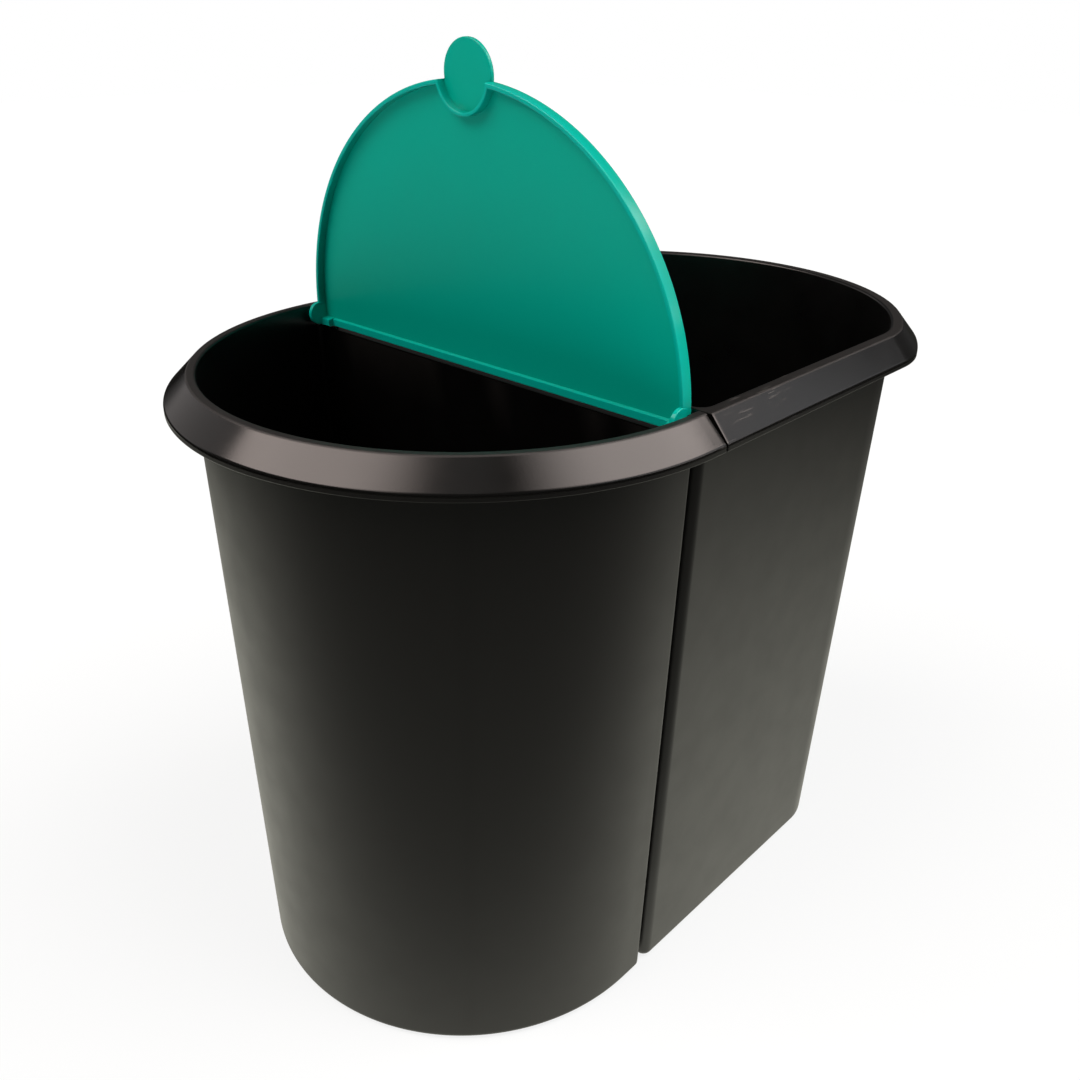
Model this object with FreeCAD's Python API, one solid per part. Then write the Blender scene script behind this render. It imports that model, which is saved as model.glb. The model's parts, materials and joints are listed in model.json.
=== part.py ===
"""Double recycling bin: a D-shaped front bin hooked on a longer rear bin, and a flap lid on the front one.

Millimetres, +Z up. X runs along the hinge, and Y from the front bin to the rear bin. The origin is on the
floor, in the middle of the rims' outline. Places along Y are worked out from the outside of the rear bin's
flat wall, and each finished solid is then moved by -origin_y.
"""

import FreeCAD
import Part
from FreeCAD import Vector
import math
import os

# both bins
rim_height = 302.0         # floor to the top of the rims
opening_half_width = 118.0 # half the width of either opening, at the rim
wall = 2.0                 # body wall, also the collar's end walls
side_draft = 12.6          # how far a side wall leans in from rim to floor
flat_draft = 0.4           # how far a flat wall leans in from rim to floor
bottom_wall = 2.0
foot_height = 1.5          # hollow under the bottom, inside the standing ring
foot_width = 9.0           # width of the standing ring
base_round = 4.0           # rounding of the edge where wall and bottom meet
bin_gap = 0.9              # between the two collars

# rim collar, measured outwards from the opening
collar_reach = 14.3        # to the skirt's outer face
collar_land = 5.5          # to the outer edge of the flat top
collar_drop = 10.5         # from the top down to the skirt
skirt_height = 3.0
skirt_wall = 1.6
land_wall = 1.9
collar_round = 2.0         # rounding of the flat top's outer edge and the skirt's upper edge

# front bin
flat_setback = 2.4         # end of the collar to the outside of the flat wall
front_straight = 2.5       # straight side between the flat wall and the half-round nose
nose_draft = 3.8           # how far the nose leans in from rim to floor
front_corner = 3.0         # outer corner rounding beside the flat wall
front_inner_corner = 2.2
hinge_shoulder = 0.6       # thickening of the side walls beside the gap for the flap

# rear bin
rear_opening_length = 237.7
rear_end_flatness = 6.0    # the far end's arc has this much more radius than half the opening's width
rear_shoulder_radius = 42.0
rear_end_draft = 16.6      # how far the far end leans in from rim to floor
rear_corner = 5.0
rear_inner_corner = 6.0
corner_upright = 9.0       # width left at full height at each end of the flat wall

# hook of the front bin over the rear bin's flat wall
hook_below_lid = 1.2       # lower edge of the upright flap down to the hook
hook_depth = 15.0          # hook's top down to the end of its lip
hook_thickness = 2.0
hook_gap = 0.6             # hook to the inside of the rear wall
hook_seat_gap = 0.4        # hook to the top of the rear wall
hook_end_gap = 2.0         # hook to each corner upright

# flap lid, upright
lid_side_gap = 2.7         # lid to the opening, each side
lid_nose_gap = 2.3         # lid to the opening's nose, when closed
lid_closed_gap = 0.2       # finger tab to the rim, when closed
lid_back_gap = 1.4         # back of the plate to the rear bin
lid_plate = 2.0
lid_depth = 5.8            # plate and flange together
lid_flange = 1.9           # thickness of the flange
lid_strip_height = 4.8     # sloped strip along the lower edge
lid_strip_edge = 1.2
lid_lean = 1.8             # degrees towards the front, as the flap stands open
tab_radius = 14.6
tab_above_edge = 1.5       # tab's centre above the half-round edge
recess_gap = 0.3           # tab to the recess wall
recess_wall = 1.6
lug_radius = 6.0
lug_thickness = 2.2
lug_swing_gap = 0.6        # lid's lower corners to the rear bin, as they swing past
pin_radius = 1.7
pin_clearance = 0.07       # running fit in the hinge holes
pin_in_wall = 1.6          # how far a pin reaches into the side wall

# worked out from the sizes above, along Y from the outside of the rear bin's flat wall
floor_top = foot_height + bottom_wall
front_collar_end_y = -bin_gap
front_flat_y = front_collar_end_y - flat_setback
nose_centre_y = front_flat_y - wall - front_straight
front_end_y = nose_centre_y - opening_half_width
rear_end_y = wall + rear_opening_length
rear_end_radius = opening_half_width + rear_end_flatness
origin_y = (front_end_y + rear_end_y) / 2
lid_back_y = -lid_back_gap
hinge_y = lid_back_y - lug_radius
hinge_z = rim_height + lid_closed_gap + lid_plate - lug_radius
lid_half_width = opening_half_width - lid_side_gap
lid_bottom = hinge_z - lug_radius
lid_top = hinge_z + hinge_y - front_end_y - lid_nose_gap
hook_top = lid_bottom - hook_below_lid
hook_half_width = opening_half_width - corner_upright - hook_end_gap
hook_lip_y = wall + hook_gap
rear_wall_top = hook_top - hook_thickness - hook_seat_gap
past = 5.0                 # how far a cutting solid runs past what it cuts


def line(start, end):
    return Part.LineSegment(start, end).toShape()


def arc(centre, radius, start, end):
    """Level arc about centre, from one angle to another, in degrees."""
    angles = [math.radians(a) for a in (start, (start + end) / 2, end)]
    points = [centre + Vector(radius * math.cos(a), radius * math.sin(a), 0) for a in angles]
    return Part.Arc(*points).toShape()


def front_outline(z, half_width, centre_y, flat_y, corner):
    """Closed D at height z: half-round nose, straight sides, flat back with rounded corners."""
    nose = Vector(0, centre_y, z)
    if corner:
        corner = min(corner, 0.9 * (flat_y - nose.y))
    side_end = flat_y - corner
    corner_x = half_width - corner
    edges = [
        arc(nose, half_width, 180, 270),
        arc(nose, half_width, 270, 360),
        line(Vector(half_width, nose.y, z), Vector(half_width, side_end, z)),
        line(Vector(corner_x, flat_y, z), Vector(-corner_x, flat_y, z)),
        line(Vector(-half_width, side_end, z), Vector(-half_width, nose.y, z)),
    ]
    if corner:
        edges.insert(3, arc(Vector(corner_x, side_end, z), corner, 0, 90))
        edges.insert(5, arc(Vector(-corner_x, side_end, z), corner, 90, 180))
    return Part.Wire(edges)


def rear_outline(z, outwards, end_y, flat_y, corner):
    """Closed outline at height z: flat front, straight sides, shoulders, and one wide arc at the far end.

    outwards moves the opening's outline out, and end_y is where the far end then lies.
    """
    half_width = opening_half_width + outwards
    shoulder = rear_shoulder_radius + outwards
    end_radius = rear_end_radius + outwards
    step = end_radius - shoulder
    turn = math.degrees(math.acos((half_width - shoulder) / step))
    end_centre = Vector(0, end_y - end_radius, z)
    shoulder_x = half_width - shoulder
    shoulder_y = end_centre.y + step * math.sin(math.radians(turn))
    side_start = flat_y + corner
    corner_x = half_width - corner
    edges = [
        arc(Vector(shoulder_x, shoulder_y, z), shoulder, 0, turn),
        arc(end_centre, end_radius, turn, 90),
        arc(end_centre, end_radius, 90, 180 - turn),
        arc(Vector(-shoulder_x, shoulder_y, z), shoulder, 180 - turn, 180),
        line(Vector(-half_width, shoulder_y, z), Vector(-half_width, side_start, z)),
        line(Vector(-corner_x, flat_y, z), Vector(corner_x, flat_y, z)),
        line(Vector(half_width, side_start, z), Vector(half_width, shoulder_y, z)),
    ]
    if corner:
        edges.insert(5, arc(Vector(-corner_x, side_start, z), corner, 180, 270))
        edges.insert(7, arc(Vector(corner_x, side_start, z), corner, 270, 360))
    return Part.Wire(edges)


def between(low, high):
    """Solid between two outlines, with straight walls."""
    return Part.makeLoft([low, high], True, True)


def below_rim(z):
    """0 at the rim, 1 at the floor."""
    return (rim_height - z) / rim_height


def front_section(z, outwards, flat_y, corner):
    """The front bin's outline at height z, moved outwards from its opening, with draft.

    The nose leans in less than the sides, so its centre moves forwards on the way down.
    """
    half_width = opening_half_width + outwards - side_draft * below_rim(z)
    centre_y = nose_centre_y - (side_draft - nose_draft) * below_rim(z)
    return front_outline(z, half_width, centre_y, flat_y - flat_draft * below_rim(z), corner)


def rear_section(z, outwards, flat_y, corner):
    """The rear bin's outline at height z, moved outwards from its opening, with draft."""
    end_y = rear_end_y + outwards - rear_end_draft * below_rim(z)
    return rear_outline(
        z, outwards - side_draft * below_rim(z), end_y, flat_y + flat_draft * below_rim(z), corner
    )


def front_level(z, outwards, flat_y):
    """The front opening's outline, moved outwards, without draft."""
    return front_outline(z, opening_half_width + outwards, nose_centre_y, flat_y, 0)


def rear_level(z, outwards, flat_y):
    """The rear opening's outline, moved outwards, without draft."""
    return rear_outline(z, outwards, rear_end_y + outwards, flat_y, 0)


def body(section, flat_y, corner):
    """A bin's outside, with the edge rounded where its walls meet the bottom.

    That rounding stays smaller than the upright corner that it runs round.
    """
    block = between(section(0, wall, flat_y, corner), section(rim_height, wall, flat_y, corner))
    low_edges = [e for e in block.Edges if e.BoundBox.ZMax < 0.01]
    return block.makeFillet(min(base_round, 0.9 * corner), low_edges)


def cavity(section, flat_y, corner):
    return between(section(floor_top, 0, flat_y, corner), section(rim_height + past, 0, flat_y, corner))


def foot_hollow(section, flat_y, corner):
    """The hollow under the bottom, inside the standing ring."""
    inset = wall - foot_width
    return between(section(-past, inset, flat_y, corner), section(foot_height, inset, flat_y, corner))


def is_level_at(edge, z, end_y):
    """Whether an edge lies level at height z and isn't on the collar's flat end."""
    size = edge.BoundBox
    level = abs(size.ZMin - z) < 0.01 and abs(size.ZMax - z) < 0.01
    return level and (abs(size.YMin - end_y) > 0.01 or abs(size.YMax - end_y) > 0.01)


def collar(end_y, into_bin, outline):
    """Block with the sloped collar's outside, hollow under the slope.

    into_bin is -1 or +1: from the collar's end towards its bin.
    """
    skirt_top = rim_height - collar_drop
    skirt_low = skirt_top - skirt_height
    rise = collar_drop / (collar_reach - collar_land)
    slope = math.atan(rise)
    inner_reach = collar_reach - skirt_wall
    inner_end = end_y + into_bin * wall
    inner_bend = skirt_top - skirt_wall * math.tan(slope / 2)
    inner_top = rim_height - land_wall
    inner_land = inner_reach - (inner_top - inner_bend) / rise

    block = between(outline(skirt_low, collar_reach, end_y), outline(skirt_top, collar_reach, end_y))
    roof = between(outline(skirt_top, collar_reach, end_y), outline(rim_height, collar_land, end_y))
    hollow = between(
        outline(skirt_low - past, inner_reach, inner_end), outline(inner_bend, inner_reach, inner_end)
    )
    hollow_roof = between(
        outline(inner_bend, inner_reach, inner_end), outline(inner_top, inner_land, inner_end)
    )
    core = between(outline(skirt_low - past, wall, end_y), outline(rim_height + past, wall, end_y))
    outside = block.fuse(roof)
    round_edges = [
        e for e in outside.Edges if is_level_at(e, rim_height, end_y) or is_level_at(e, skirt_top, end_y)
    ]
    outside = outside.makeFillet(collar_round, round_edges)
    return outside.cut(hollow.fuse(hollow_roof).cut(core))


def across(half_width, low_y, high_y, low_z, high_z):
    """Box that is centred across the bin."""
    corner = Vector(-half_width, low_y, low_z)
    return Part.makeBox(2 * half_width, high_y - low_y, high_z - low_z, corner)


def on_hinge(radius, from_x, to_x):
    """A rod on the hinge axis at each side."""
    along = Vector(1, 0, 0)
    starts = (from_x, -to_x)
    return [Part.makeCylinder(radius, to_x - from_x, Vector(x, hinge_y, hinge_z), along) for x in starts]


def make_front_bin():
    inner_flat_y = front_flat_y - wall
    shell = body(front_section, front_flat_y, front_corner)
    shell = shell.fuse(collar(front_collar_end_y, -1, front_level))
    shell = shell.cut(cavity(front_section, inner_flat_y, front_inner_corner))
    shell = shell.cut(foot_hollow(front_section, front_flat_y - foot_width, front_inner_corner))

    gap_half_width = opening_half_width - hinge_shoulder
    gap_end_y = front_collar_end_y + past
    below_collar = rim_height - collar_drop - skirt_height - past
    flap_gap = across(
        gap_half_width, inner_flat_y - front_inner_corner, gap_end_y, hook_top, rim_height + past
    )
    shell = shell.cut(flap_gap)
    shell = shell.cut(across(gap_half_width, front_flat_y, gap_end_y, below_collar, hook_top))

    hook_end_y = hook_lip_y + hook_thickness
    web = across(hook_half_width, inner_flat_y, hook_end_y, hook_top - hook_thickness, hook_top)
    lip = across(hook_half_width, hook_lip_y, hook_end_y, hook_top - hook_depth, hook_top)
    shell = shell.fuse([web, lip])
    hole_radius = pin_radius + pin_clearance
    for hole in on_hinge(hole_radius, opening_half_width - past, opening_half_width + collar_land):
        shell = shell.cut(hole)
    return shell.removeSplitter()


def make_rear_bin():
    shell = body(rear_section, 0, rear_corner)
    shell = shell.fuse(collar(0, 1, rear_level))
    shell = shell.cut(cavity(rear_section, wall, rear_inner_corner))
    shell = shell.cut(foot_hollow(rear_section, foot_width, rear_inner_corner))
    lowered_half_width = opening_half_width - corner_upright
    lowered_end_y = wall + rear_inner_corner
    lowered = across(lowered_half_width, -past, lowered_end_y, rear_wall_top, rim_height + past)
    return shell.cut(lowered).removeSplitter()


def standing_plate(half_width, low_z, top_z, front_y, back_y):
    """D-shaped plate standing on its straight edge, half-round at the top."""
    round_z = top_z - half_width
    right_low = Vector(half_width, front_y, low_z)
    right = Vector(half_width, front_y, round_z)
    left = Vector(-half_width, front_y, round_z)
    left_low = Vector(-half_width, front_y, low_z)
    edges = [
        line(left_low, right_low),
        line(right_low, right),
        Part.Arc(right, Vector(0, front_y, top_z), left).toShape(),
        line(left, left_low),
    ]
    return Part.Face(Part.Wire(edges)).extrude(Vector(0, back_y - front_y, 0))


def make_lid():
    front_y = lid_back_y - lid_depth
    plate_front_y = lid_back_y - lid_plate
    plate = standing_plate(lid_half_width, lid_bottom, lid_top, plate_front_y, lid_back_y)
    block = standing_plate(lid_half_width, lid_bottom, lid_top, front_y, lid_back_y)
    inside_half_width = lid_half_width - lid_flange
    inside_top = lid_top - lid_flange
    inside_low = lid_bottom - past
    inside = standing_plate(inside_half_width, inside_low, inside_top, front_y - past, lid_back_y + past)

    tab_z = lid_top + tab_above_edge
    backwards = Vector(0, 1, 0)
    tab = Part.makeCylinder(tab_radius, lid_plate, Vector(0, plate_front_y, tab_z), backwards)
    recess_radius = tab_radius + recess_gap
    flange_front = Vector(0, front_y, tab_z)
    recess = Part.makeCylinder(recess_radius, lid_depth - lid_plate, flange_front, backwards)
    recess_block = Part.makeCylinder(
        recess_radius + recess_wall, lid_depth - lid_plate, flange_front, backwards
    )
    flange = block.cut(inside).fuse(recess_block.common(block)).cut(recess)

    strip_corners = [
        Vector(-lid_half_width, plate_front_y, lid_bottom),
        Vector(-lid_half_width, front_y, lid_bottom),
        Vector(-lid_half_width, front_y, lid_bottom + lid_strip_edge),
        Vector(-lid_half_width, plate_front_y, lid_bottom + lid_strip_height),
    ]
    strip_end = Part.Face(Part.makePolygon(strip_corners + strip_corners[:1]))
    strip = strip_end.extrude(Vector(2 * lid_half_width, 0, 0))
    lid = plate.fuse([tab, flange, strip])

    # the lower corners are rounded off about the hinge, so that they swing clear of the rear bin
    corner_length = lid_half_width - hook_half_width
    swing_radius = -hinge_y - lug_swing_gap
    for low_x in (hook_half_width, -lid_half_width):
        start = Vector(low_x, hinge_y, hinge_z)
        swing = Part.makeCylinder(swing_radius, corner_length, start, Vector(1, 0, 0))
        below = Vector(low_x, hinge_y, hinge_z - 2 * lug_radius)
        lower_back = Part.makeBox(corner_length, -hinge_y, 2 * lug_radius, below)
        lid = lid.cut(lower_back.cut(swing))

    lid = lid.fuse(on_hinge(lug_radius, lid_half_width - lug_thickness, lid_half_width))
    lid = lid.fuse(on_hinge(pin_radius, lid_half_width - lug_thickness, opening_half_width + pin_in_wall))
    lid.rotate(Vector(0, hinge_y, hinge_z), Vector(1, 0, 0), lid_lean)
    return lid.removeSplitter()


def write(node, shape):
    shape.translate(Vector(0, -origin_y, 0))
    if len(shape.Solids) != 1 or not shape.isValid():
        raise ValueError(node + " is not one valid solid")
    shape.exportStep("parts/" + node + ".step")
    print(node, "volume", round(shape.Volume), "mm3, area", round(shape.Area), "mm2")


os.makedirs("parts", exist_ok=True)
write("front_bin", make_front_bin())
write("rear_bin", make_rear_bin())
write("flap_lid", make_lid())
print("rear flat wall at y", round(-origin_y, 3), "hinge at y", round(hinge_y - origin_y, 3), "z", hinge_z)
print("hook top at z", round(hook_top, 3), "flap top at z", round(lid_top, 3))
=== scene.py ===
import json
import math

import bmesh
import bpy
import numpy as np
from mathutils import Matrix, Vector


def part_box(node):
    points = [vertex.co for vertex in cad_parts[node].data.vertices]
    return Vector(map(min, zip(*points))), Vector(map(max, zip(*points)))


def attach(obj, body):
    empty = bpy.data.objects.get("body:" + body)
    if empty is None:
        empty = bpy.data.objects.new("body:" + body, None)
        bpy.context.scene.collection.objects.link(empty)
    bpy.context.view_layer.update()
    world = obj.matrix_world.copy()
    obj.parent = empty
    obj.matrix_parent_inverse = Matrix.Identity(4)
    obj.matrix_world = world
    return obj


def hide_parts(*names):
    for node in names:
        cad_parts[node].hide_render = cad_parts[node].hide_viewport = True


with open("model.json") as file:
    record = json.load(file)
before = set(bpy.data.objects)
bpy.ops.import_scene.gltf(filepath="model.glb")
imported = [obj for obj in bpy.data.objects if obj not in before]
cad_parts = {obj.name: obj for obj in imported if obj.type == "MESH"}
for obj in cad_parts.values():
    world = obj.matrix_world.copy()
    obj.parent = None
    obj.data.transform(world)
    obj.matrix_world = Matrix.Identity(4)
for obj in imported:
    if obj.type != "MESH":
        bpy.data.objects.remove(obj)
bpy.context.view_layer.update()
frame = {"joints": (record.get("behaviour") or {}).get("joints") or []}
mm = 0.001  # shapes are worked out in millimetres and written in metres
mergeWithin = 0.002  # points nearer than this, in mm, become one
sharpAngle = 32  # degrees between faces past which their edge stays sharp
rearLow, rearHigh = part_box("rear_bin")
dividerY = rearLow.y / mm  # the rear bin's flat face, which v is measured from
rimTop = rearHigh.z / mm
hingeAt = next(j for j in frame["joints"] if j["name"] == "flap_hinge")["pos_m"]
print("frame loaded, rim at", round(rimTop, 2), "mm, dividing plane at y", round(dividerY, 2), "mm")


def arcPoints(start, stop, steps):
    # steps + 1 angles from start to stop, given in degrees
    return np.radians(np.linspace(start, stop, steps + 1))


def lineTo(a, b, steps):
    # points evenly from a to b, a left out
    t = np.linspace(0, 1, steps + 1)[1:, None]
    return np.asarray(a, float) * (1 - t) + np.asarray(b, float) * t


def gridFaces(rows, columns, first=0):
    # quads between neighbouring rows and columns of a grid that is numbered row by row
    i = np.arange(rows * columns).reshape(rows, columns) + first
    return np.stack([i[:-1, :-1], i[:-1, 1:], i[1:, 1:], i[1:, :-1]], -1).reshape(-1, 4)


def makePiece(name, grids, plates, inner=None):
    # grids are arrays of rows x columns x 3, plates are lists of points round a flat face, all in mm;
    # both are for the half at x >= 0, and the other half is the same with x turned round;
    # inner gives, for some of them, how many of their rows are inside the bin, which the material paints with
    # darker shade
    points, faces, count = [], [], 0
    for grid in grids:
        rows, columns = grid.shape[:2]
        points.append(grid.reshape(-1, 3))
        faces += gridFaces(rows, columns, count).tolist()
        count += rows * columns
    for plate in plates:
        points.append(np.asarray(plate, float))
        faces.append(list(range(count, count + len(plate))))
        count += len(plate)
    inside = [np.zeros(len(p)) for p in points]
    for k, rows in (inner or {}).items():
        if k < len(grids):
            inside[k] = np.repeat(np.arange(len(grids[k])) < rows, grids[k].shape[1]).astype(float)
        else:
            inside[k] += 1
    points = np.vstack(points)
    faces += [[i + count for i in reversed(face)] for face in faces]
    points = np.vstack([points, points * (-1, 1, 1)])
    mesh = bpy.data.meshes.new(name)
    mesh.from_pydata((points * mm).tolist(), [], faces)
    # the mark of the rows inside the bin, for their painted shade and their own roughness
    if inner:
        mark = mesh.attributes.new("inner_wall_shade_and_gloss", "FLOAT", "POINT")
        mark.data.foreach_set("value", np.tile(np.concatenate(inside), 2))
    b = bmesh.new()
    b.from_mesh(mesh)
    bmesh.ops.remove_doubles(b, verts=b.verts, dist=mergeWithin * mm)
    bmesh.ops.dissolve_degenerate(b, edges=b.edges, dist=mergeWithin * mm)
    bmesh.ops.recalc_face_normals(b, faces=b.faces)
    openEdges = sum(1 for e in b.edges if not e.is_manifold)
    b.to_mesh(mesh)
    b.free()
    mesh.shade_smooth()
    mesh.set_sharp_from_angle(angle=math.radians(sharpAngle))
    piece = bpy.data.objects.new(name, mesh)
    bpy.context.collection.objects.link(piece)
    even = piece.modifiers.new("even_normals", "WEIGHTED_NORMAL")
    even.keep_sharp = True
    print(name, len(mesh.polygons), "faces,", openEdges, "open edges")
    return piece


rim = {
    "mouthHalf": 118.0,  # half the width of the mouth
    "reach": 14.3,  # mouth to the outside of the skirt
    "drop": 11.228,  # flat top to where the skirt is upright
    "skirtLow": 288.5,
    "skirtWall": 1.6,
    "bendRound": 2.0,
    "mouthRound": 1.2,
    "hemRound": 0.5,
    "endRound": 0.45,  # where the collar ends at the seam between the two bins
    "endShares": (0.3, 1.0),  # how far the last two columns move along that rounding
    "hollowEdge": (12.7, 290.75),
    "hollowTop": 299.9,
}
body = {
    "wall": 2.0,
    "sideDraft": 12.6,  # how far a side leans in, rim to floor
    "flatDraft": 0.4,
    "floorTop": 3.5,
    "floorRound": 3.0,
    "footHeight": 1.5,
    "footWidth": 9.0,
    "baseRound": 4.0,
    "wallRows": 12,
    "leastCorner": 0.5,
    "postWidth": 1.0,
}
# v is the distance from the dividing plane into the bin, along side
frontBin = {
    "side": -1,
    "land": 3.4,  # mouth to where the flat top starts to round over
    "landRound": 0.8,
    "slopeAngle": 45.5,  # of the slope's normal above level
    "hollowIn": 3.6,
    "noseCentre": 7.8,
    "noseDraft": 3.8,
    "collarEnd": 0.9,
    "stops": (6.4, 5.3, 4.3),  # columns of the rim between the side and the flat wall
    "flatOut": 3.3,
    "cornerOut": 3.0,
    "cornerIn": 2.2,
    "flatTop": 290.95,
    "gapHalf": 117.4,  # half the width of the gap that the flap stands in
}
rearBin = {
    "side": 1,
    "land": 5.1,
    "landRound": 0.8,
    "slopeAngle": 40.0,
    "hollowIn": 4.9,
    "mouthEnd": 239.7,
    "endRadius": 124.0,
    "shoulder": 42.0,
    "endDraft": 16.6,
    "collarEnd": 0.0,
    "flatOut": 0.0,
    "cornerOut": 5.0,
    "cornerIn": 6.0,
    "flatTop": 288.5,
    "lowHalf": 109.0,  # half the width of the lowered part of the flat wall
}
steps = {"nose": 72, "end": 48, "shoulder": 24, "side": 12, "corner": 8, "post": 4, "flat": 10}
rounded = {"floor": 6, "base": 8, "mouth": 6, "land": 6, "bend": 5, "hem": 4, "hook": 5, "flap": 4, "rod": 4}


def curvedEnd(form, out, down):
    # from the middle of the curved end to the start of the straight side: the nose is a quarter circle,
    # and the rear bin's end is an arc of endRadius and a shoulder arc that meet where their tangents agree
    lean = body["sideDraft"] * down
    half = rim["mouthHalf"] + out - lean
    if form["side"] < 0:
        a = arcPoints(90, 0, steps["nose"])
        centre = form["noseCentre"] + (body["sideDraft"] - form["noseDraft"]) * down
        return np.stack([half * np.cos(a), centre + half * np.sin(a)], 1)
    big, small = form["endRadius"] + out - lean, form["shoulder"] + out - lean
    centre = form["mouthEnd"] + out - form["endDraft"] * down - big
    turn = math.degrees(math.acos((half - small) / (big - small)))
    a, b = arcPoints(90, turn, steps["end"]), arcPoints(turn, 0, steps["shoulder"])[1:]
    meet = centre + (big - small) * math.sin(math.radians(turn))
    end = np.stack([big * np.cos(a), centre + big * np.sin(a)], 1)
    return np.vstack([end, np.stack([half - small + small * np.cos(b), meet + small * np.sin(b)], 1)])


def bodyRing(form, out, z, inside):
    # half of a closed outline at height z: curved end, side, upright corner, and flat wall to the middle
    down = (rimTop - z) / rimTop
    curve = curvedEnd(form, out, down)
    half = curve[-1, 0]
    flat = form["flatOut"] + body["flatDraft"] * down + (body["wall"] if inside else 0)
    inset = -out if inside else body["wall"] - out
    corner = max((form["cornerIn"] if inside else form["cornerOut"]) - inset, body["leastCorner"])
    flat += inset
    side = lineTo(curve[-1], (half, flat + corner), steps["side"])
    a = arcPoints(0, 90, steps["corner"])[1:]
    bend = np.stack([half - corner + corner * np.cos(a), flat + corner - corner * np.sin(a)], 1)
    if form["side"] > 0:
        lowest = (rimTop - form["flatTop"]) / rimTop
        edge = form["lowHalf"] - body["sideDraft"] * max(down - lowest, 0)
    else:
        edge = half - corner - body["postWidth"]
    post = lineTo(bend[-1], (edge, flat), steps["post"])
    plan = np.vstack([curve, side, bend, post, lineTo((edge, flat), (0, flat), steps["flat"])])
    return np.column_stack([plan, np.full(len(plan), z)])


def rimRing(form, out, z, end, drafted=False, innerEdge=None):
    # half of an open outline: curved end, side, and straight on to v = end, or beside the gap at innerEdge
    down = (rimTop - z) / rimTop if drafted else 0.0
    curve = curvedEnd(form, out, down)
    half = curve[-1, 0]
    start = form["flatOut"] + body["flatDraft"] * down + body["wall"] + form["cornerIn"]
    r = rim["endRound"]
    # in all as many columns as the corner of bodyRing has
    if form["side"] < 0 and end == form["collarEnd"]:
        last = [start, *form["stops"], form["flatOut"], end + r]
    else:
        last = [start, *lineTo((start,), (end + r,), steps["corner"] - 3)[:, 0]]
    last += [end + r * rim["endShares"][0], end]
    side = lineTo(curve[-1], (half, start), steps["side"])
    tail = np.array([((half if innerEdge is None else innerEdge), v) for v in last])
    plan = np.vstack([curve, side, tail])
    return np.column_stack([plan, np.full(len(plan), z)])


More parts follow.
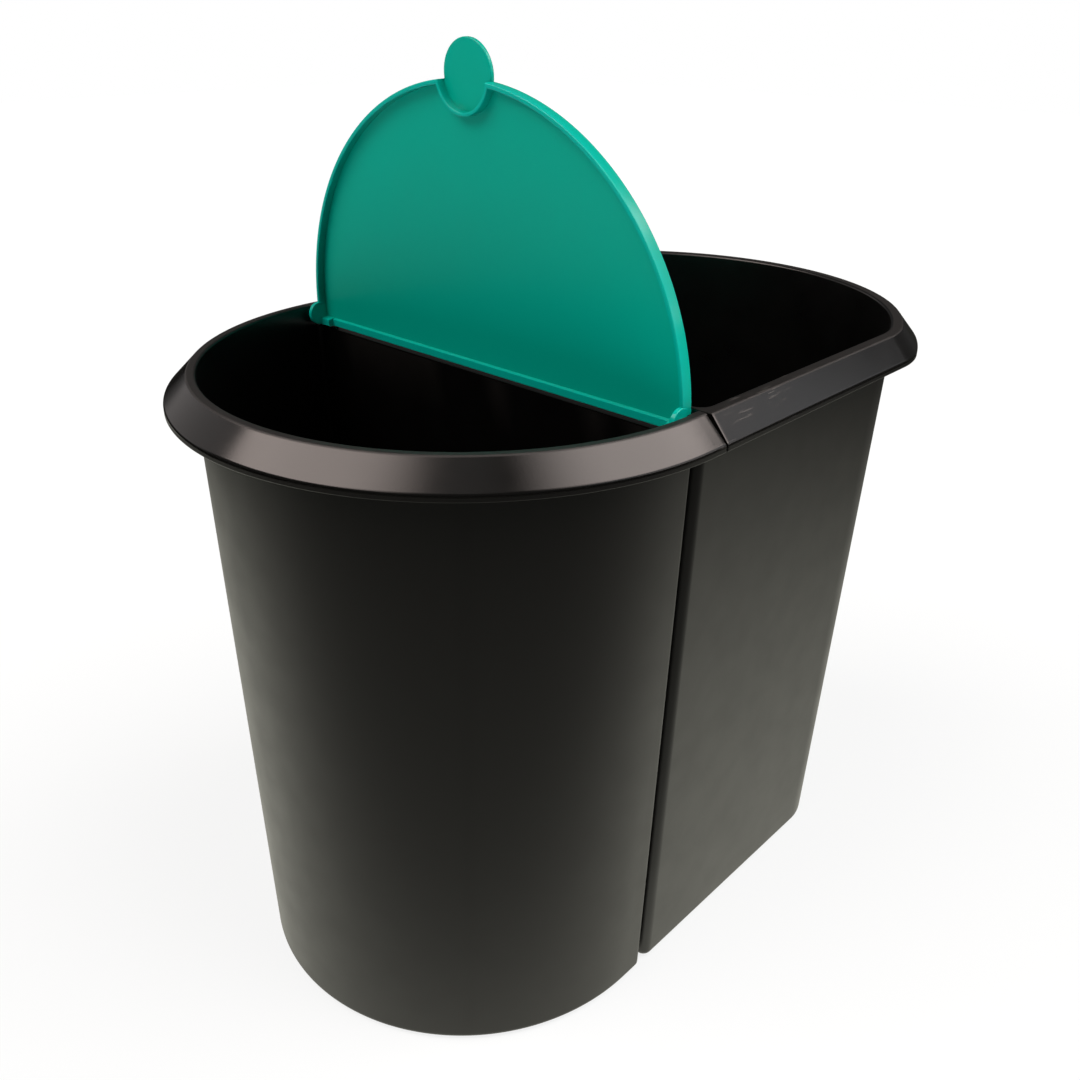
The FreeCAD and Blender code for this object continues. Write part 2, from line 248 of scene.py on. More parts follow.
def makeBin(name, form):
    # rows are rings, each at its height and its distance out from the mouth, and both follow the profile:
    # a rounding of radius r goes from its centre by r cos t and r sin t, and the rest is straight
    nCurve = steps["nose"] + 1 if form["side"] < 0 else steps["end"] + steps["shoulder"] + 1
    nSide = nCurve + steps["side"]
    nCorner = nSide + steps["corner"]
    nPost = nCorner + steps["post"]
    top, end, low = form["flatTop"], form["collarEnd"], rim["skirtLow"]

    # inside: floor, its rounding, and the wall up to the lowered flat wall
    r = body["floorRound"]
    a = arcPoints(0, 90, rounded["floor"])
    levels = [(-r * (1 - math.sin(t)), body["floorTop"] + r * (1 - math.cos(t))) for t in a]
    levels += [(0.0, z) for z in np.linspace(body["floorTop"] + r, top, body["wallRows"])[1:]]
    inner = np.array([bodyRing(form, out, z, True) for out, z in levels])
    # outside: wall, base rounding, standing ring and the hollow under the bottom
    r = body["baseRound"]
    levels = [(body["wall"], z) for z in np.linspace(low, r, body["wallRows"])]
    a = arcPoints(0, 90, rounded["base"])[1:]
    levels += [(body["wall"] - r * (1 - math.cos(t)), r - r * math.sin(t)) for t in a]
    foot = body["wall"] - body["footWidth"]
    levels += [(foot, 0.0), (foot, body["footHeight"])]
    outer = np.array([bodyRing(form, out, z, False) for out, z in levels])

    # mouth: the wall above that, the rounded inner edge and the flat top
    r = rim["mouthRound"]
    wallTop = [(0.0, z) for z in np.linspace(top, rimTop - r, 4)]
    a = arcPoints(0, 90, rounded["mouth"])[1:]
    mouth = [(r * (1 - math.cos(t)), rimTop - r + r * math.sin(t)) for t in a]
    landEdge = (form["land"], rimTop)
    if form["side"] < 0:
        gap = form["gapHalf"]
        rows = [rimRing(form, out, z, end, True, gap + out) for out, z in wallTop + mouth]
        rows.append(rimRing(form, *landEdge, end))
    else:
        # the flat top runs on over the corner upright, and its edge is rounded down to the end face
        rows = [bodyRing(form, out, z, True)[:nPost] for out, z in wallTop + mouth]
        outline = rimRing(form, *landEdge, end)
        for k in (3, 2, 1):
            row = np.vstack([outline[:nCorner - k + 1], np.repeat(outline[[nCorner - k]], k - 1, 0)])
            edge = lineTo(row[-1], (form["lowHalf"], row[-1, 1], rimTop), steps["post"])
            rows.append(np.vstack([row, edge]))
    mouthRows = np.array(rows)

    # collar: rounded outer edge, slope, rounded bend, skirt and its rounded hem
    r, tilt = form["landRound"], form["slopeAngle"]
    a = arcPoints(90, tilt, rounded["land"])
    levels = [(form["land"] + r * math.cos(t), rimTop - r + r * math.sin(t)) for t in a]
    r = rim["bendRound"]
    bend = rim["reach"] - r
    a = arcPoints(tilt, 0, rounded["bend"])
    levels += [(bend + r * math.cos(t), rimTop - rim["drop"] + r * math.sin(t)) for t in a]
    h = rim["hemRound"]
    a = arcPoints(0, 90, rounded["hem"])
    levels += [(rim["reach"] - h + h * math.cos(t), low + h - h * math.sin(t)) for t in a]
    collar = np.array([rimRing(form, out, z, end) for out, z in levels])
    # the collar's end is rounded over: its last two columns move in, square to the profile
    profile = collar[:, -1][:, [0, 2]]
    along = np.gradient(profile, axis=0)
    inward = np.stack([along[:, 1], -along[:, 0]], 1) / np.linalg.norm(along, axis=1)[:, None]
    for column, share in zip((-2, -1), rim["endShares"]):
        collar[:, column, ::2] += inward * rim["endRound"] * share
    topDrops = dict(zip((3, 2, 1), (0.0, *rim["endShares"])))
    if form["side"] < 0:
        mouthRows[-1, -2:] = collar[0, -2:]
    else:
        for row, k in zip(mouthRows[-3:], (3, 2, 1)):
            row[nCorner - k:] -= (0, 0, rim["endRound"] * topDrops[k])
            row[:nCorner - k + 1] = collar[0, :nCorner - k + 1]
    # under the collar: the hem's inner edge, up the hollow and down beside the body
    inSkirt = rim["reach"] - rim["skirtWall"]
    levels = [(inSkirt + h - h * math.sin(t), low + h - h * math.cos(t)) for t in a]
    levels += [rim["hollowEdge"], (form["hollowIn"], rim["hollowTop"]), (body["wall"], rim["hollowTop"]),
               (body["wall"], low)]
    hollow = np.array([rimRing(form, out, z, end + body["wall"]) for out, z in levels])
    hem = np.array([collar[-1], hollow[0]])
    ledge = np.array([hollow[-1][:nSide], outer[0][:nSide]])

    # the flat faces that close the ends of the collar, the lowered wall, the floor and the bottom
    corner = outer[0][nSide - 1:nCorner]  # outer upright corner, just under the collar
    under = [collar[-1][-1]] + [hollow[0][-1]] + list(hollow[-1][nSide - 1:][::-1]) + list(corner)
    plates = [inner[0], outer[-1], hollow[:, -1]]
    if form["side"] < 0:
        gap, flat = form["gapHalf"], form["flatOut"]
        edge = np.column_stack([np.linspace(gap, 0, steps["post"] + steps["flat"] + 1),
                                np.full(steps["post"] + steps["flat"] + 1, flat),
                                np.full(steps["post"] + steps["flat"] + 1, top)])
        wallTop = np.array([inner[-1][nCorner - 1:], edge, outer[0][nCorner - 1:]])
        lowEnd, lowFlat = (gap, end, low), (gap, flat, low)
        first = mouthRows[0]
        turn = nSide + 4  # the point of the gap's side that lies over the flat wall's outer face
        plates.append(under + [lowFlat, lowEnd])
        plates.append(list(mouthRows[:, -1]) + list(collar[1:, -1]) + [lowEnd])
        plates.append(list(inner[-1][nSide - 1:nCorner]) + list(first[nSide:turn + 1][::-1]))
        plates.append([first[i] for i in range(turn, nCorner)] + [lowEnd, lowFlat])
        plates.append([first[turn], lowFlat, outer[0][nCorner - 1]])
    else:
        wallTop = np.array([inner[-1][nPost - 1:], outer[0][nPost - 1:]])
        plates.append(under)
        posts = list(outer[0][nCorner - 1:nPost][::-1])
        plates.append(list(mouthRows[-1][nCorner - 1:]) + posts + list(collar[1:, -1][::-1]))
        plates.append(list(mouthRows[:, -1]) + [posts[0]])

    def placed(p):
        # v becomes y, on this bin's side of the dividing plane
        return np.stack([p[..., 0], dividerY + form["side"] * p[..., 1], p[..., 2]], -1)

    grids = [placed(g) for g in (inner, outer, mouthRows, collar, hollow, hem, ledge, wallTop)]
    # inside are the wall and floor, the mouth but for its last four rows, and the floor's flat face, all
    # marked for painted shade
    innerRows = {0: len(inner), 2: len(mouthRows) - 4, len(grids): 1}
    return makePiece(name, grids, [placed(np.array(p)) for p in plates], innerRows)


frontShell = makeBin("front_bin_shell", frontBin)
rearShell = makeBin("rear_bin_shell", rearBin)
for shell, node in ((frontShell, "front_bin"), (rearShell, "rear_bin")):
    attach(shell, node)
    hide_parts(node)

hook = {
    "half": 107.0,
    "top": 291.0,
    "low": 276.0,
    "thick": 2.0,
    "lipFace": -4.6,
    "into": 3.6,
    "topRound": 1.6,
    "lipRound": 0.5,
    "innerRound": 0.6,
}


def makeHook(name):
    # an L-shaped outline of web and lip, with rounded corners, carried straight across the bin
    t, r, tip = hook["thick"], hook["lipRound"], hook["lipFace"]
    corners = [  # v, z, rounding
        (hook["into"], hook["top"], 0), (tip, hook["top"], hook["topRound"]), (tip, hook["low"], r),
        (tip + t, hook["low"], r), (tip + t, hook["top"] - t, hook["innerRound"]),
        (hook["into"], hook["top"] - t, 0)]
    n = len(corners)
    outline = []
    for i, (v, z, radius) in enumerate(corners):
        here = np.array([v, z])
        if not radius:
            outline.append(here)
            continue
        back = np.array(corners[i - 1][:2]) - here
        on = np.array(corners[(i + 1) % n][:2]) - here
        back, on = back / np.linalg.norm(back), on / np.linalg.norm(on)
        middle = here + (back + on) * radius
        a = arcPoints(0, 90, rounded["hook"])
        outline += [middle - on * radius * math.cos(t) - back * radius * math.sin(t) for t in a]
    outline = np.array(outline + outline[:1])
    grid = np.array([np.column_stack([np.full(len(outline), x), dividerY - outline[:, 0], outline[:, 1]])
                     for x in (0, hook["half"])])
    return makePiece(name, [grid], [grid[-1][:-1]])


frontHook = makeHook("front_bin_hook")
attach(frontHook, "front_bin")
print("bins made")

flap = {
    "half": 115.3,
    "roundCentre": 299.0,  # height of the half-round's centre
    "low": 292.2,
    "back": -58.35,
    "plateFront": -60.35,
    "front": -64.15,
    "flange": 1.9,
    "stripHigh": 4.0,
    "stripEdge": 3.3,
    "stripProud": 1.15,
    "edgeRound": 0.5,
    "tabCentre": 415.6,
    "tabRadius": 13.8,
    "recess": 14.0,
    "recessWall": 1.6,
    "hingeY": hingeAt[1] / mm,
    "hingeZ": hingeAt[2] / mm,
    "swing": 6.8,  # radius round the pin that the lower edge beside the strip keeps outside of
    "lowCorner": 107.0,
    "cornerJog": 0.05,  # half the width over which the lower edge steps up to the lug
    "lean": 1.8,
    "lug": (5.6, 113.1, 115.33),  # radius, and from where to where along X
    "lugRound": 0.4,
    "pin": (1.7, 113.5, 117.8),
    "pinRound": 0.3,
    "highlightFrom": 0.3,  # in front of the plate, where the painted highlight's lighter green begins
    "highlightOver": 0.8,
    "highlightShare": 0.7,
}


flapSteps = {"halfRound": 72, "tab": 40, "strip": 10, "besideStrip": 6, "side": 5, "rod": 48}
hair = 0.01  # mm, to tell a point on a line from one beside it


def flapRing(inset, low, circle, y, above=False):
    # half outline of the flap: lower edge, side, half-round, and the circle round the tab's centre, which
    # is followed below its centre for the recess or above it for the tab
    f = flap
    half = f["half"] - inset
    lift = f["tabCentre"] - f["roundCentre"]

    def meeting(radius):
        z = (half ** 2 - radius ** 2 + lift ** 2) / (2 * lift)
        return math.atan2(z, math.sqrt(half ** 2 - z ** 2))

    slot = f["recess"] if above else circle
    a = np.linspace(0, meeting(slot), flapSteps["halfRound"] + 1)
    halfRound = np.stack([half * np.cos(a), f["roundCentre"] + half * np.sin(a)], 1)
    m = meeting(circle)
    start = math.atan2(f["roundCentre"] + half * math.sin(m) - f["tabCentre"], half * math.cos(m))
    # the recess goes on from the half-round's last point, and the tab starts at a point of its own
    n = flapSteps["tab"]
    b = np.linspace(start, math.pi / 2, n) if above else np.linspace(start, -math.pi / 2, n + 1)[1:]
    tab = np.stack([circle * np.cos(b), f["tabCentre"] + circle * np.sin(b)], 1)
    before, after = (f["lowCorner"] - f["cornerJog"], low), (f["lowCorner"] + f["cornerJog"], low)
    lower = np.vstack([[(0, low)], lineTo((0, low), before, flapSteps["strip"]), [after],
                       lineTo(after, (half, low), flapSteps["besideStrip"])])
    side = lineTo((half, low), (half, f["roundCentre"]), flapSteps["side"])
    plan = np.vstack([lower, side, halfRound[1:], tab])
    ring = np.column_stack([plan[:, 0], np.full(len(plan), y), plan[:, 1]])
    if y < f["plateFront"]:  # the strip along the lower edge stands less far in front of the plate
        strip = (ring[:, 0] < f["lowCorner"]) & (ring[:, 2] < low + hair)
        deep = (f["plateFront"] - y) * f["stripProud"] / (f["plateFront"] - f["front"])
        ring[strip, 1] = f["plateFront"] - deep
    # beside the strip the lower edge follows a circle of radius swing round the pin, behind its lowest point
    past = np.clip(y - f["hingeY"], 0, f["swing"] - hair)
    lift = f["hingeZ"] - math.sqrt(f["swing"] ** 2 - past ** 2)
    outer = ring[:, 0] > f["lowCorner"]
    ring[outer, 2] = np.maximum(ring[outer, 2], lift)
    return ring


def leaned(p, degrees):
    # points turned about the hinge's axis
    turn = math.radians(degrees)
    y, z = p[..., 1] - flap["hingeY"], p[..., 2] - flap["hingeZ"]
    return np.stack([p[..., 0], flap["hingeY"] + y * math.cos(turn) - z * math.sin(turn),
                     flap["hingeZ"] + y * math.sin(turn) + z * math.cos(turn)], -1)


def rodRows(radius, fromX, toX, edge):
    # a rod along the hinge with rounded ends: its radius follows its place along X
    a = arcPoints(0, 90, rounded["rod"])
    along = [(fromX, 0.0)]
    along += [(fromX + edge - edge * math.cos(t), radius - edge + edge * math.sin(t)) for t in a]
    along += [(toX - edge + edge * math.sin(t), radius - edge + edge * math.cos(t)) for t in a]
    along += [(toX, 0.0)]
    turn = np.linspace(0, 2 * math.pi, flapSteps["rod"] + 1)
    return np.array([np.column_stack([np.full(len(turn), x), flap["hingeY"] + r * np.cos(turn),
                                      flap["hingeZ"] + r * np.sin(turn)]) for x, r in along])


def makeFlap(name):
    # rows go from the plate's front up the flange, over its front to its outer side, back to the plate, over
    # the tab and round to the back; in each rounding of radius r a row moves aside by r (1 - cos t) while its
    # depth changes by r (1 - sin t), or the other way round
    f = flap
    r, inset, low = f["edgeRound"], f["flange"], f["low"]
    wallCircle = f["recess"] + f["recessWall"]
    slope = (f["stripHigh"] - f["stripEdge"]) / (f["plateFront"] - f["front"])
    a = arcPoints(0, 90, rounded["flap"])
    rows = [flapRing(inset, low + f["stripHigh"], wallCircle, f["plateFront"])]
    for t in a:  # inner edge of the flange, rounded over to its front
        deep, aside = r * (1 - math.sin(t)), r * (1 - math.cos(t))
        rows.append(flapRing(inset - aside, low + f["stripEdge"] + slope * deep, wallCircle - aside,
                             f["front"] + deep))
    for t in a:  # outer edge, rounded over to the side
        deep, aside = r * (1 - math.cos(t)), r * (1 - math.sin(t))
        rows.append(flapRing(aside, low + aside, f["recess"] + aside, f["front"] + deep))
    rows.append(flapRing(0, low, f["recess"], f["plateFront"]))
    tab = f["tabRadius"]
    for t in a:  # the tab's front edge
        deep, aside = r * (1 - math.cos(t)), r * (1 - math.sin(t))
        rows.append(flapRing(0, low, tab - aside, f["plateFront"] + deep, True))
    for t in a:  # its back edge
        deep, aside = r * (1 - math.sin(t)), r * (1 - math.cos(t))
        rows.append(flapRing(aside, low + aside, tab - aside, f["back"] - deep, True))
    rows = np.array(rows)
    grids = [rows, rodRows(*f["lug"], f["lugRound"]), rodRows(*f["pin"], f["pinRound"])]
    lean = f["lean"]
    faces = [leaned(rows[0], lean), leaned(rows[-1], lean)]
    piece = makePiece(name, [leaned(g, lean) for g in grids], faces)
    markEdgeHighlight(piece)
    return piece


def markEdgeHighlight(piece):
    # painted highlight: its full share on the flange's front, 0 on the plate, and between them the depth past
    # where it begins divided by the depth it grows over, where depth is how far a point lies in front of the
    # plate once the flap is turned upright
    points = np.empty(len(piece.data.vertices) * 3)
    piece.data.vertices.foreach_get("co", points)
    y = leaned(points.reshape(-1, 3) / mm, -flap["lean"])[:, 1]
    depth = np.clip((flap["plateFront"] - flap["highlightFrom"] - y) / flap["highlightOver"], 0, 1)
    edge = piece.data.attributes.new("painted_edge_highlight", "FLOAT", "POINT")
    edge.data.foreach_set("value", depth * flap["highlightShare"])


flapPiece = makeFlap("flap_moulding")
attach(flapPiece, "flap_lid")
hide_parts("flap_lid")
print("flap made")


class Nodes:
    # short ways to add and join nodes in one tree
    def __init__(self, tree):
        self.tree = tree

    def add(self, kind, **settings):
        node = self.tree.nodes.new(kind)
        for name, value in settings.items():
            setattr(node, name, value)
        return node

    def join(self, value, socket):
        # a link if the value comes from another node, and otherwise the socket's own value
        if isinstance(value, bpy.types.NodeSocket):
            self.tree.links.new(value, socket)
        else:
            socket.default_value = value

    def math(self, operation, a, b=0.0):
        node = self.add("ShaderNodeMath", operation=operation)
        self.join(a, node.inputs[0])
        self.join(b, node.inputs[1])
        return node.outputs[0]

    def vector(self, operation, a, b):
        # one number from two vectors: their distance or dot product
        node = self.add("ShaderNodeVectorMath", operation=operation)
        self.join(a, node.inputs[0])
        self.join(b, node.inputs[1])
        return node.outputs["Value"]

    def axes(self, place):
        node = self.add("ShaderNodeSeparateXYZ")
        self.join(place, node.inputs[0])
        return node.outputs

    def ramp(self, value, low, high, first=0.0, last=1.0):
        # smooth step from low to high, put out between first and last
        node = self.add("ShaderNodeMapRange", interpolation_type="SMOOTHSTEP")
        titles = ("Value", "From Min", "From Max", "To Min", "To Max")
        for socket, v in zip(titles, (value, low, high, first, last)):
            self.join(v, node.inputs[socket])
        return node.outputs[0]

    def mix(self, factor, a, b):
        node = self.add("ShaderNodeMix", data_type="RGBA")
        self.join(factor, node.inputs[0])
        self.join(a, node.inputs[6])
        self.join(b, node.inputs[7])
        return node.outputs[2]

    def mixShaders(self, factor, a, b):
        node = self.add("ShaderNodeMixShader")
        for i, value in enumerate((factor, a, b)):
            self.join(value, node.inputs[i])
        return node.outputs[0]

    def noise(self, place, scale, detail=2.0):
        node = self.add("ShaderNodeTexNoise")
        self.join(place, node.inputs["Vector"])
        node.inputs["Scale"].default_value = scale
        node.inputs["Detail"].default_value = detail
        return node.outputs["Fac"]

    def attribute(self, name):
        return self.add("ShaderNodeAttribute", attribute_name=name).outputs["Fac"]

    def group(self, tree, values):
        node = self.add("ShaderNodeGroup", node_tree=tree)
        for title, value in values.items():
            self.join(value, node.inputs[title])
        return node.outputs


def newGroup(name, vectors, numbers, results):
    # an empty node group with its sockets, and its inputs and outputs to join
    tree = bpy.data.node_groups.new(name, "ShaderNodeTree")
    for title in vectors:
        tree.interface.new_socket(title, in_out="INPUT", socket_type="NodeSocketVector")
    for title in numbers:
        tree.interface.new_socket(title, in_out="INPUT", socket_type="NodeSocketFloat")
    for title in results:
        tree.interface.new_socket(title, in_out="OUTPUT", socket_type="NodeSocketFloat")
    n = Nodes(tree)
    return tree, n, n.add("NodeGroupInput").outputs, n.add("NodeGroupOutput").inputs


grain = {
    "pits": 1500,  # scales of the three noises
    "waves": 26,
    "clouds": 60,
    "pitShare": 0.5,  # of the pits in the change of gloss
    "middle": 0.75,  # of clouds and pits together
}
scuffs = {
    "fade": (0.4, 1.0),  # shares of the reach
    "patches": 40,
    "patchSteps": (0.42, 0.6),
    "turns": (0.5, -0.9, 2.1),
    "turnShares": (1.0, 0.7, 1.3),  # of each turn about X, Y and Z
    "stretch": (900, 60, 900),
    "lineSteps": (0.66, 0.72),
}


def makeGrainGroup():
    # moulded grain: fine pits from one noise, and a slow waviness of the wall from another; the roughness
    # goes up and down with a third noise and the pits
    tree, n, given, out = newGroup(
        "moulded_grain", ["Place"], ["Pit Depth", "Wave Depth", "Gloss Change", "Roughness"],
        ["Height", "Roughness"])
    pits = n.noise(given["Place"], grain["pits"], 3)
    waves = n.noise(given["Place"], grain["waves"], 2)
    clouds = n.noise(given["Place"], grain["clouds"], 3)
    height = n.math("ADD", n.math("MULTIPLY", pits, given["Pit Depth"]),
                    n.math("MULTIPLY", waves, given["Wave Depth"]))
    both = n.math("ADD", clouds, n.math("MULTIPLY", pits, grain["pitShare"]))
    change = n.math("MULTIPLY", n.math("SUBTRACT", both, grain["middle"]), given["Gloss Change"])
    n.join(height, out["Height"])
    n.join(n.math("ADD", given["Roughness"], change), out["Roughness"])
    return tree


def makeScuffGroup():
    # light rubbing: thin crossing scratches, kept to patches of a slow noise and fading away from a point
    tree, n, given, out = newGroup("rubbed_scuffs", ["Place", "Around"], ["Reach", "Amount"], ["Mask"])
    away = n.vector("DISTANCE", given["Place"], given["Around"])
    near = n.ramp(n.math("DIVIDE", away, given["Reach"]), *scuffs["fade"], 1.0, 0.0)
    patch = n.ramp(n.noise(given["Place"], scuffs["patches"], 2), *scuffs["patchSteps"])
    patch = n.math("MULTIPLY", patch, near)
    lines = []
    for turn in scuffs["turns"]:
        mapping = n.add("ShaderNodeMapping")
        n.join(given["Place"], mapping.inputs["Vector"])
        mapping.inputs["Rotation"].default_value = [turn * share for share in scuffs["turnShares"]]
        mapping.inputs["Scale"].default_value = scuffs["stretch"]
        lines.append(n.ramp(n.noise(mapping.outputs[0], 1.0, 1), *scuffs["lineSteps"]))
    scratched = n.math("MAXIMUM", n.math("MAXIMUM", lines[0], lines[1]), lines[2])
    n.join(n.math("MULTIPLY", n.math("MULTIPLY", scratched, patch), given["Amount"]), out["Mask"])
    return tree


grainGroup, scuffGroup = makeGrainGroup(), makeScuffGroup()


def startMaterial(name):
    # a new material with its shader, and the place on the object that its patterns read
    material = bpy.data.materials.new(name)
    material.use_nodes = True
    n = Nodes(material.node_tree)
    place = n.add("ShaderNodeTexCoord").outputs["Object"]
    return material, n, material.node_tree.nodes["Principled BSDF"], place


def finishPlastic(n, shader, look, colour, rough, height):
    # the values that both plastics set on their shader, with the grain's height as its bump
    n.join(colour, shader.inputs["Base Color"])
    n.join(rough, shader.inputs["Roughness"])
    shader.inputs["IOR"].default_value = look["ior"]
    shader.inputs["Specular IOR Level"].default_value = look["specular"]
    node = n.add("ShaderNodeBump")
    node.inputs["Strength"].default_value = 1.0
    node.inputs["Distance"].default_value = look["bump"]
    n.join(height, node.inputs["Height"])
    n.join(node.outputs[0], shader.inputs["Normal"])


binLook = {
    "colour": (0.0026, 0.0025, 0.0022, 1),
    # painted shade: the darker colour inside the bin
    "inside": (0.0006, 0.0006, 0.0006, 1),
    "scuffed": (0.04, 0.039, 0.037, 1),
    "wallRough": 0.42,
    "collarRough": 0.17,
    "topRough": 0.55,
    "insideRough": 0.3,
    "scuffRough": 0.15,  # added where it is scuffed
    "collarFrom": (0.2902, 0.2906),  # heights in metres over which each begins
    "topFrom": (0.3012, 0.3018),
    "grain": {"Pit Depth": 0.5, "Wave Depth": 1.0, "Gloss Change": 0.10},
    "scuffsAround": (0.128, -0.025, 0.297),
    "scuffsReach": 0.06,
    "scuffsAmount": 0.9,
    "ior": 1.52,
    "specular": 0.5,
    "bump": 0.00003,
}


def makeBinPlastic():
    # near-black polypropylene: satin walls with a fine grain, smoother on the collar, where it is rubbed;
    # the roughness steps from wall to collar to flat top with height, and has its own value inside, where the
    # colour is also made darker as painted shade
    look = binLook
    material, n, shader, place = startMaterial("bin_plastic_satin")
    height = n.axes(place)["Z"]
    onCollar, onTop = n.ramp(height, *look["collarFrom"]), n.ramp(height, *look["topFrom"])
    inner = n.attribute("inner_wall_shade_and_gloss")
    rough = n.math("MULTIPLY", onCollar, look["collarRough"] - look["wallRough"])
    rough = n.math("ADD", rough, look["wallRough"])
    rough = n.math("ADD", n.math("MULTIPLY", onTop, look["topRough"] - look["collarRough"]), rough)
    rough = n.math("ADD", n.math("MULTIPLY", inner, n.math("SUBTRACT", look["insideRough"], rough)), rough)
    grained = n.group(grainGroup, {"Place": place, "Roughness": rough, **look["grain"]})
    rubbed = n.group(scuffGroup, {
        "Place": place, "Around": look["scuffsAround"], "Reach": look["scuffsReach"],
        "Amount": n.math("MULTIPLY", onCollar, look["scuffsAmount"])})["Mask"]
    # painted shade: the inside mark turns the colour darker within the bin, and the scuffs then lighten it
    # where rubbed
    colour = n.mix(rubbed, n.mix(inner, look["colour"], look["inside"]), look["scuffed"])
    rough = n.math("ADD", grained["Roughness"], n.math("MULTIPLY", rubbed, look["scuffRough"]))
    finishPlastic(n, shader, look, colour, rough, grained["Height"])
    return material


flapLook = {
    "colour": (0.0, 0.42, 0.32, 1),
    "deep": (0.0, 0.37, 0.275, 1),
    # painted highlight: the lighter green of the flange's edges
    "edge": (0.0, 0.47, 0.4, 1),
    "rough": 0.2,
    "clouds": 9,
    "cloudSteps": (0.35, 0.7),
    "cloudShare": 0.25,
    "grain": {"Pit Depth": 0.08, "Wave Depth": 0.6, "Gloss Change": 0.05},
    "ior": 1.45,
    "specular": 0.3,
    "bump": 0.00003,
}


def makeFlapPlastic():
    # clear green polypropylene, a little deeper in slow clouds, with a painted highlight of lighter green on
    # the flange's edges
    look = flapLook
    material, n, shader, place = startMaterial("flap_plastic_green")
    grained = n.group(grainGroup, {"Place": place, "Roughness": look["rough"], **look["grain"]})
    cloud = n.ramp(n.noise(place, look["clouds"], 3), *look["cloudSteps"])
    colour = n.mix(n.math("MULTIPLY", cloud, look["cloudShare"]), look["colour"], look["deep"])
    # painted highlight: lighter green mixed in on the flange's edges
    colour = n.mix(n.attribute("painted_edge_highlight"), colour, look["edge"])
    finishPlastic(n, shader, look, colour, grained["Roughness"], grained["Height"])
    return material


binPlastic, flapPlastic = makeBinPlastic(), makeFlapPlastic()
for piece, look in ((frontShell, binPlastic), (rearShell, binPlastic), (frontHook, binPlastic),
                    (flapPiece, flapPlastic)):
    piece.data.materials.clear()
    piece.data.materials.append(look)
print("materials made")

studio = {
    "floorSize": 5.0,
    "floorColour": (0.80, 0.90, 0.93, 1),
    "floorRough": 0.9,
    "shadow": 0.2,  # how much of the floor's own light and shade is seen, the rest is plain white
    "glowColour": (1, 0.99, 0.86, 1),
    "floorLight": 1.2,  # what the floor beside the bins sends into their walls
    "farLight": 0.03,
    "floorMiddle": (-0.09, -0.07, 0.0),
    "floorNear": 0.08,
    "floorFar": 1.15,
    "towardsView": (0.668, -0.744, 0.0),
    "viewSteps": (0.05, 0.3),
    "viewSide": 0.3,  # share of floorLight that is left on the camera's side
    "towardsFlap": (-0.668, -0.744, 0.0),  # the floor that the flap reflects towards the camera is darker
    "flapSteps": (0.68, 0.84),
    "flapSide": 0.02,
    "dim": 0.06,  # room around the lights
    # each box: azimuth from -Y towards +X and elevation in degrees, each fading in and out, colour, strength
    "boxes": [
        ((-64, -60), (-22, 28), (29, 33), (78, 86), (1.0, 0.86, 0.80), 4.9),
        ((66, 120), (158, 162), (28, 35), (78, 86), (1.0, 0.88, 0.83), 5.3),
        ((100, 112), (141, 146), (6, 14), (28, 35), (1.0, 0.88, 0.83), 5.0),
        ((10, 30), (50, 70), (40, 50), (80, 88), (1.0, 0.97, 0.94), 0.3),
        ((-120, -110), (-66, -58), (0, 4), (29, 33), (1.0, 0.93, 0.91), 0.45),
        ((80, 100), (155, 158.5), (10, 14), (27, 31), (0.96, 0.97, 1.0), 0.85),
    ],
}


def makeFloor():
    # white floor; in reflections its light fades with distance, and is weaker on the camera's side and
    # towards the flap's mirror direction, both measured as the dot product of the place and a direction
    r = studio["floorSize"]
    mesh = bpy.data.meshes.new("studio_floor")
    mesh.from_pydata([(-r, -r, 0), (r, -r, 0), (r, r, 0), (-r, r, 0)], [], [(0, 1, 2, 3)])
    floor = bpy.data.objects.new("studio_floor", mesh)
    bpy.context.collection.objects.link(floor)
    material, n, shader, place = startMaterial("studio_white")
    shader.inputs["Base Color"].default_value = studio["floorColour"]
    shader.inputs["Roughness"].default_value = studio["floorRough"]
    shader.inputs["Specular IOR Level"].default_value = 0.0
    rays = n.add("ShaderNodeLightPath").outputs
    plain = n.add("ShaderNodeEmission").outputs[0]
    share = n.math("MULTIPLY", rays["Is Camera Ray"], 1 - studio["shadow"])
    seen = n.mixShaders(share, shader.outputs[0], plain)
    away = n.vector("DISTANCE", place, studio["floorMiddle"])
    fade = n.ramp(away, studio["floorNear"], studio["floorFar"], studio["floorLight"], studio["farLight"])
    toView = n.vector("DOT_PRODUCT", place, studio["towardsView"])
    toFlap = n.vector("DOT_PRODUCT", place, studio["towardsFlap"])
    side = n.math("MULTIPLY", n.ramp(toView, *studio["viewSteps"], 1.0, studio["viewSide"]),
                  n.ramp(toFlap, *studio["flapSteps"], 1.0, studio["flapSide"]))
    glow = n.add("ShaderNodeEmission")
    glow.inputs["Color"].default_value = studio["glowColour"]
    n.join(n.math("MULTIPLY", fade, side), glow.inputs["Strength"])
    both = n.mixShaders(rays["Is Glossy Ray"], seen, glow.outputs[0])
    n.join(both, material.node_tree.nodes["Material Output"].inputs["Surface"])
    mesh.materials.append(material)


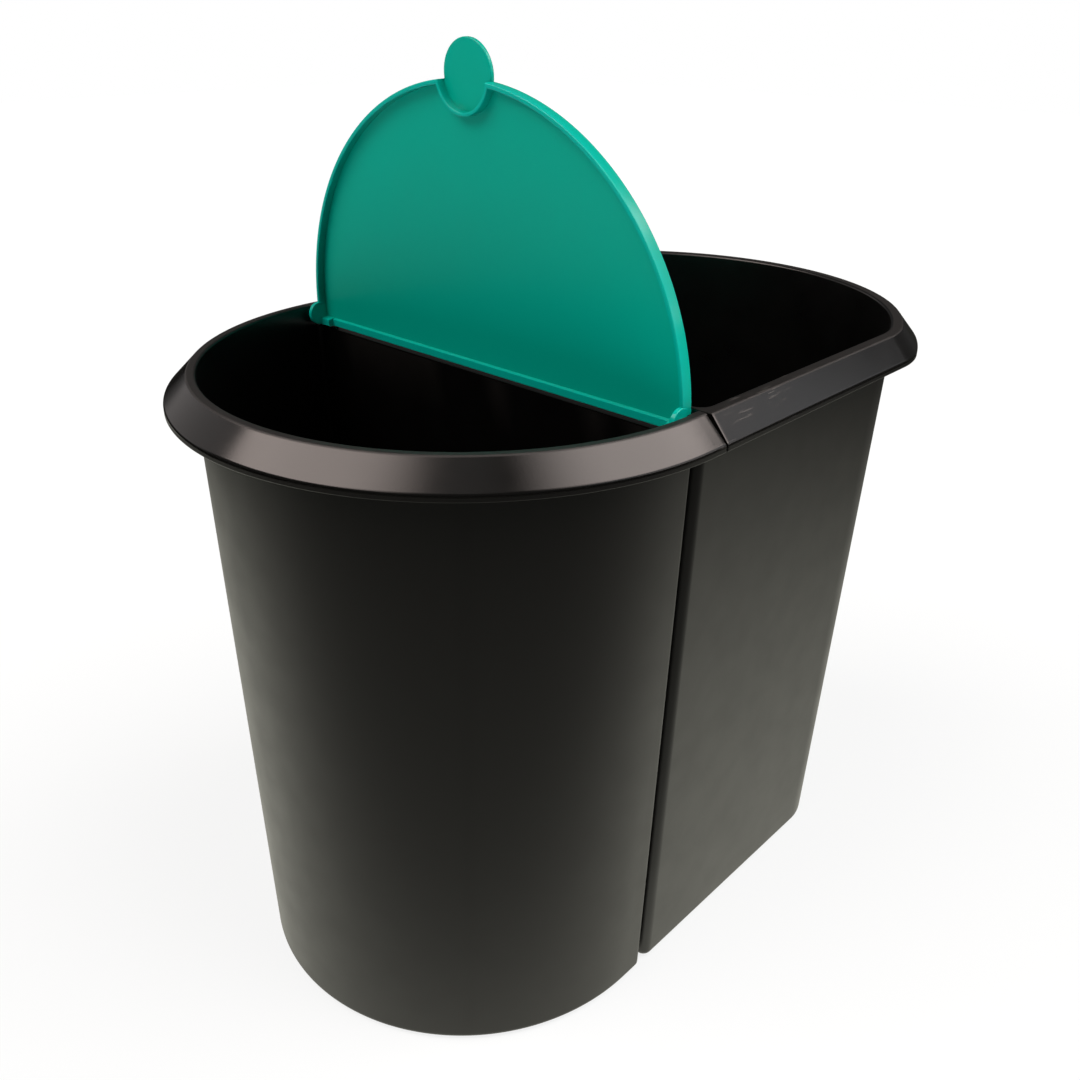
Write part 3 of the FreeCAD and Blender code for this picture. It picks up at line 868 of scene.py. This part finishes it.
def makeStudio():
    # white behind the object, and for everything else a dim room with soft boxes in it: a box is the product
    # of four smooth steps, two in azimuth and two in elevation
    world = bpy.data.worlds.new("studio")
    bpy.context.scene.world = world
    world.use_nodes = True
    n = Nodes(world.node_tree)
    xyz = n.axes(n.add("ShaderNodeTexCoord").outputs["Generated"])
    around = n.math("ARCTAN2", xyz["X"], n.math("MULTIPLY", xyz["Y"], -1.0))
    above = n.math("ARCSINE", xyz["Z"])
    light = (studio["dim"],) * 3 + (1,)
    for left, right, low, high, colour, strength in studio["boxes"]:
        edges = [n.ramp(value, *np.radians(ends).tolist(), *way) for value, ends, way in (
            (around, left, (0, 1)), (around, right, (1, 0)), (above, low, (0, 1)), (above, high, (1, 0)))]
        inside = n.math("MULTIPLY", n.math("MULTIPLY", edges[0], edges[1]),
                        n.math("MULTIPLY", edges[2], edges[3]))
        light = n.mix(inside, light, tuple(v * strength for v in colour) + (1,))
    white = n.mix(n.add("ShaderNodeLightPath").outputs["Is Camera Ray"], light, (1, 1, 1, 1))
    n.join(white, world.node_tree.nodes["Background"].inputs["Color"])


makeFloor()
makeStudio()

view = {
    "about": (0, -52.95, 150),  # the point that the camera turns about, in mm
    "azimuth": 41.89,
    "elevation": 26.28,
    "roll": 0.69,
    "distance": 553.89,
    "aside": (-33.85, -52.44),
    "focal": 1075.56,  # in pixels of the 1080 picture
    "centre": (563.11, 531.24),
    "picture": 1080,
    "sensor": 36,
}


def makeCamera():
    # the camera looks along -back, is turned by roll, and its picture is shifted so that its middle is centre
    az, el, roll = (math.radians(view[k]) for k in ("azimuth", "elevation", "roll"))
    back = Vector((math.sin(az) * math.cos(el), -math.cos(az) * math.cos(el), math.sin(el)))
    right = Vector((math.cos(az), math.sin(az), 0))
    up = back.cross(right)
    right, up = right * math.cos(roll) + up * math.sin(roll), up * math.cos(roll) - right * math.sin(roll)
    place = Vector(view["about"]) + back * view["distance"] - right * view["aside"][0] - up * view["aside"][1]
    data = bpy.data.cameras.new("product_view")
    camera = bpy.data.objects.new("product_view", data)
    bpy.context.collection.objects.link(camera)
    turn = Matrix((right, up, back)).transposed().to_4x4()
    camera.matrix_world = Matrix.Translation(place * mm) @ turn
    data.sensor_fit = "HORIZONTAL"
    data.sensor_width = view["sensor"]
    data.lens = view["focal"] / view["picture"] * view["sensor"]
    data.shift_x = 0.5 - view["centre"][0] / view["picture"]
    data.shift_y = view["centre"][1] / view["picture"] - 0.5
    data.clip_start = 0.01
    bpy.context.scene.camera = camera


makeCamera()
bpy.context.scene.view_settings.view_transform = "Standard"
